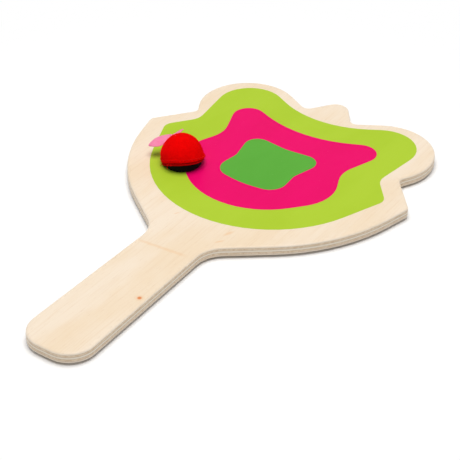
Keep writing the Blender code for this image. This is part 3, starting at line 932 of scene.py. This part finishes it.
# %% [markdown]
# ## Hook pad
# Under the bug sits a round of black hook tape, backed with foam. The body leans, so the foam is pressed thin
# on one side and stands tall on the other. The visible pad is a loft from a level circle below to the
# leaning circle that the frame gives above, with a soft belly between them. Below it stand rows of tiny bent
# filaments, each a short tube that runs down and curls back. They only show when the bug is lifted off.

# %% Foam and tape
PAD_STEPS = 72
PAD_ROWS = ((0.0, 0.0006), (0.04, 0.0002), (0.12, 0.0), (0.5, -0.0002), (0.88, 0.0), (0.96, 0.0002),
            (1.0, 0.0006))
HOOK_LENGTH = 0.0005


def hook_tape_finish():
    """Black weave in fine level ribs, with a little dust."""
    sheet = finish_sheet("black_hook_tape_weave")
    ribs = sheet.add("TexWave", {"bands_direction": "Z"}, {"Vector": sheet.place(), "Scale": 700.0,
                                                        "Distortion": 0.6, "Detail": 1.0})
    ribs = Wire(sheet, ribs.socket.node.outputs["Fac"])
    dust = sheet.grain(0.0012, detail=3.0)
    colour = sheet.mix(ribs * 0.5 + dust.rise(0.55, 0.8) * 0.3, tone(7, 7, 8), tone(24, 24, 26))
    return sheet.surface(colour, rough=0.70 + dust * 0.2, bump=(ribs, 0.0001, 0.7), gloss=0.06)


hook_tape = hook_tape_finish()
low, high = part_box("hook_pad")
pad_foot = Vector(((low.x + high.x) / 2, (low.y + high.y) / 2, PRINT_TOP + HOOK_LENGTH))
pad_radius = (high.x - low.x) / 2
cap = welded("hook_pad")
cap_faces = [face for face in cap.faces
             if face.normal.z > LEVEL and face.calc_center_median().z > pad_foot.z]
cap_way = sum((face.normal * face.calc_area() for face in cap_faces), Vector()).normalized()
cap_verts = list(dict.fromkeys(vert for face in cap_faces for vert in face.verts))
cap_middle = sum((vert.co for vert in cap_verts), Vector()) / len(cap_verts)
cap.free()

bm = bmesh.new()
rings = []
for share, depth in PAD_ROWS:
    rings.append([])
    for k in range(PAD_STEPS):
        turn = math.tau * k / PAD_STEPS
        arm = Vector((math.cos(turn), math.sin(turn), 0)) * (pad_radius - depth)
        top = cap_middle + arm - UP * (arm.dot(cap_way) / cap_way.z)
        rings[-1].append(bm.verts.new((pad_foot + arm).lerp(top, share)))
join_rings(bm, rings)
tape = show(mesh_from(bm, "hook_tape"), hook_tape, "catch_bug", "black_hook_tape", "hook_pad")
print("pad:", round(2 * pad_radius / MM, 1), "mm across, leaning",
      round(math.degrees(cap_way.angle(UP)), 1), "degrees on top")

# %% Hooks
HOOK_PITCH = 0.0013
HOOK_WIRE = 0.00010
HOOK_ROOT, HOOK_EXTRA, HOOK_SPAN = 0.0002, 0.00005, 0.0008
HOOK_MARGIN, ROW_SQUEEZE = 0.0010, 0.9
HOOK_BEND = ((0.0, 0.0), (0.05, 0.45), (0.16, 0.82), (0.34, 1.0), (0.52, 0.90), (0.58, 0.66))

bm = bmesh.new()
hook_count = 0
steps = int(pad_radius / HOOK_PITCH) + 1
for i in range(-steps, steps + 1):
    for j in range(-steps, steps + 1):
        spot = Vector(((i + 0.5 * (j % 2)) * HOOK_PITCH, j * HOOK_PITCH * ROW_SQUEEZE, 0))
        if spot.length > pad_radius - HOOK_MARGIN:
            continue
        root = pad_foot + spot + UP * HOOK_ROOT
        side = 1 if (i + j) % 2 else -1
        points = [root + Vector((side * a * HOOK_SPAN, 0, -b * (HOOK_LENGTH + HOOK_EXTRA)))
                  for a, b in HOOK_BEND]
        sweep(bm, points, [HOOK_WIRE * 1.3] + [HOOK_WIRE] * 4 + [HOOK_WIRE * 0.6], 4)
        hook_count += 1
show(mesh_from(bm, "tape_hooks", ROUND), hook_tape, "catch_bug", "black_hook_tape")
print("hooks:", hook_count, "of", HOOK_LENGTH / MM, "mm")

# %% [markdown]
# ## Wings
# Both wings are leaf-shaped offcuts of pink felt, pinched together in the middle and tied down with thread
# behind the dome. The frame gives each leaf's length, width and droop as a flat piece. Pinching cups it, so
# the visible wing arches across its width, gathers into small pleats at the root and curls down a little at
# the tip. The left one is twisted as well.

# %% Shape a wing
WING_ROWS = 30
WING_SIDES = 20
WING_THICKNESS = 0.0012
WING_CUP = {"left_wing": 0.0008, "right_wing": 0.0003}
WING_PLEAT, PLEAT_WAVES, PLEAT_FADE = 0.00022, 2.5, 2.6
WING_CURL = -0.0010
WING_TILT = {"left_wing": 0.0013, "right_wing": 0.0}
WING_RIPPLE, RIPPLE_SIZE = 0.00010, 0.003
TIP_HALF = 0.0003
ROOT_REACH = 0.0030
ROOT_HALF = 0.0025


def hinge_of(body):
    """The place of the joint that carries a body."""
    return next(Vector(joint["pos_m"]) for joint in frame["joints"] if joint["child"] == body)


def wing(name):
    """A cupped leaf of felt over the frame's flat one."""
    middle, (along, across, up) = spread_of(name)
    hinge = hinge_of(name)
    along = along if along.dot(middle - hinge) > 0 else -along
    up = up if up.z > 0 else -up
    across = up.cross(along)
    leaf = welded(name)
    spots = [vert.co - middle for vert in leaf.verts]
    leaf.free()
    reaches = [spot.dot(along) for spot in spots]
    begin, end = min(reaches), max(reaches)
    widest = max(abs(spot.dot(across)) for spot in spots)
    shoulder = next(spot.dot(along) for spot in spots if abs(spot.dot(across)) > widest - 1e-6)
    root = begin - ROOT_REACH

    def half_width(u):
        """Half the leaf's width at a distance along it."""
        if u < shoulder:
            return ROOT_HALF + (widest - ROOT_HALF) * math.sin(math.pi / 2 * (u - root) / (shoulder - root))
        return widest * max(0.0, 1 - ((u - shoulder) / (end - shoulder)) ** 1.7) ** 0.7

    bm = bmesh.new()
    rings, cut = [], 0.0
    for k in range(WING_ROWS + 1):
        u = root + (end - root) * math.sin(math.pi / 2 * k / WING_ROWS)
        half = max(half_width(u), TIP_HALF)
        t = (u - root) / (end - root)
        if rings:
            cut += (half + last_half) * (u - last_u)
        last_u, last_half = u, half
        ring = []
        for side in range(WING_SIDES):
            turn = math.tau * side / WING_SIDES
            v = half * math.copysign(abs(math.cos(turn)) ** 0.6, math.cos(turn))
            thick = min(WING_THICKNESS, half) / 2 * math.copysign(abs(math.sin(turn)) ** 0.7, math.sin(turn))
            lift = -WING_CUP[name] * (v / widest) ** 2 * (1 - 0.3 * t)
            lift += WING_PLEAT * math.cos(v / half * PLEAT_WAVES * math.pi) * max(0.0, 1 - t * PLEAT_FADE)
            lift -= WING_TILT[name] * v / widest * math.sin(math.pi * t ** 0.7)
            lift += WING_CURL * t ** 3 + WING_RIPPLE * noise.noise(Vector((u, v, 0)) / RIPPLE_SIZE)
            ring.append(bm.verts.new(middle + along * u + across * v + up * (lift + thick)))
        rings.append(ring)
    join_rings(bm, rings)
    piece = show(mesh_from(bm, name + "_felt", 60), pink_felt, None, "pink_felt", name)
    hinge - along * 0.0004
    hinge + along * 0.0022
    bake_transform(piece)
    2 * widest
    end - root
    print(name, "felt:", round((end - root) / MM, 1), "mm long,", round(2 * widest / MM, 1), "mm wide, cut",
          round(cut * 1e6), "square mm")
    return piece


wings = {name: wing(name) for name in ("left_wing", "right_wing")}

# %% [markdown]
# ## Knot
# Behind the dome the felt is gathered into a knot and wound with a few turns of thread. The knot is the
# frame's own little spool, refined, with its felt pushed into pleats round its axis. The thread is a short
# coil at the waist of the spool.

# %% Gather the knot and wind it
KNOT_PLEATS = 9
KNOT_PLEAT_DEPTH, KNOT_CORE = 0.00016, 0.0003
COIL_TURNS, COIL_STEPS = 3, 16
COIL_TIGHT, COIL_PITCH, COIL_WIRE = 0.60, 1.2, 0.5

thread_middle, thread_axes = spread_of("wing_thread")
knot_way, knot_side = thread_axes[2], thread_axes[0]
knot_over = knot_way.cross(knot_side)
knot_mesh = refined(quads(welded("wing_knot")), 2, "gathered_knot")
for vert in knot_mesh.vertices:
    off = vert.co - thread_middle
    out = off - knot_way * off.dot(knot_way)
    if out.length > KNOT_CORE:
        turn = math.atan2(out.dot(knot_over), out.dot(knot_side))
        vert.co -= out.normalized() * KNOT_PLEAT_DEPTH * (0.5 + 0.5 * math.cos(turn * KNOT_PLEATS))
knot = show(knot_mesh, pink_felt, "catch_bug", "pink_felt", "wing_knot")

ring_reach = [vert.co - thread_middle for vert in frame["nodes"]["wing_thread"].data.vertices]
coil_radius = sum((off - knot_way * off.dot(knot_way)).length for off in ring_reach) / len(ring_reach)
points = []
for k in range(COIL_TURNS * COIL_STEPS + 1):
    turn = math.tau * k / COIL_STEPS
    along = (k / (COIL_TURNS * COIL_STEPS) - 0.5) * COIL_TURNS * THREAD * COIL_PITCH
    points.append(thread_middle + knot_way * along
                  + (knot_side * math.cos(turn) + knot_over * math.sin(turn)) * coil_radius * COIL_TIGHT)
bm = bmesh.new()
sweep(bm, points, [THREAD * COIL_WIRE] * len(points), 6)
show(mesh_from(bm, "wound_thread", ROUND), red_thread, "catch_bug", "red_thread", "wing_thread")
print("knot:", len(knot_mesh.polygons), "faces, coil radius", round(coil_radius / MM, 2), "mm")

# %% [markdown]
# ## Fuzz
# Fibres stand off the felt by a fraction of a millimetre. Each is a blade of two faces that starts in the
# surface and leans over. They are scattered by area, from a fixed seed, so that the same fuzz grows on every
# run. A hair system would do this too, but plain blades stay in the mesh when it is exported. None dips into
# the print, and none grows where a wing bends.

# %% Grow the fuzz
FUZZ_WIDTH, FUZZ_ROOT = 0.00005, 0.00005
FUZZ_FLOOR = PRINT_TOP + 0.0001
FUZZ_SEED = 11
DOME_FIBRES, DOME_FUZZ = 5200, 0.0007
BASE_FIBRES, BASE_FUZZ = 1600, 0.0006
WING_FIBRES, WING_FUZZ, WING_FLATTEST = 420, 0.0004, 5.0
HINGE_BARE = 0.0050


def fuzz(name, piece, count, length, seed, flattest=1.6, hinge=None):
    """Blades all over a piece, but none near the hinge where it bends."""
    chance = random.Random(seed)
    mesh = piece.data
    mesh.calc_loop_triangles()
    corners = [[mesh.vertices[i].co for i in triangle.vertices] for triangle in mesh.loop_triangles]
    sizes = [triangle.area for triangle in mesh.loop_triangles]
    if hinge:
        sizes = [0.0 if min((corner - hinge).length for corner in three) < HINGE_BARE else size
                 for three, size in zip(corners, sizes)]
    normals = [triangle.normal.copy() for triangle in mesh.loop_triangles]
    verts, faces = [], []
    for index in chance.choices(range(len(corners)), sizes, k=count):
        a, b, c = corners[index]
        u, v = chance.random(), chance.random()
        if u + v > 1:
            u, v = 1 - u, 1 - v
        root = a + (b - a) * u + (c - a) * v
        up = normals[index]
        lean = Matrix.Rotation(chance.uniform(0, math.tau), 3, up) @ up.orthogonal().normalized()
        wide = up.cross(lean) * FUZZ_WIDTH
        reach = length * chance.uniform(0.5, 1.3)
        tilt = chance.uniform(0.3 * flattest, flattest)
        knee = root + (up + lean * tilt * 0.5).normalized() * reach * 0.5
        tip = knee + (up * 0.6 + lean * tilt).normalized() * reach * 0.5
        knee.z, tip.z = max(knee.z, FUZZ_FLOOR), max(tip.z, FUZZ_FLOOR)
        first = len(verts)
        root = root - up * FUZZ_ROOT
        verts += [root - wide, root + wide, knee + wide * 0.8, knee - wide * 0.8, tip]
        faces += [(first, first + 1, first + 2, first + 3), (first + 3, first + 2, first + 4)]
    mesh = bpy.data.meshes.new(name)
    mesh.from_pydata(verts, [], faces)
    mesh.shade_smooth()
    return mesh


show(fuzz("dome_fuzz", dome, DOME_FIBRES, DOME_FUZZ, FUZZ_SEED), red_felt, "catch_bug", "red_felt")
show(fuzz("base_fuzz", base, BASE_FIBRES, BASE_FUZZ, FUZZ_SEED + 1), painted_shade_base_felt, "catch_bug", "red_felt")
for seed, (body, piece) in enumerate(wings.items(), FUZZ_SEED + 2):
    fibres = fuzz(body + "_fuzz", piece, WING_FIBRES, WING_FUZZ, seed, WING_FLATTEST, hinge_of(body))
    show(fibres, pink_felt, body, "pink_felt")
print("fuzz:", DOME_FIBRES, "fibres on the dome,", BASE_FIBRES, "on the base,", WING_FIBRES, "on each wing")

# %% [markdown]
# ## The frame's box
# The dressed toy has to stay in the frame's box, because its size is a fact of the frame and not of its
# looks. Felt and fuzz may stand a little proud of it.
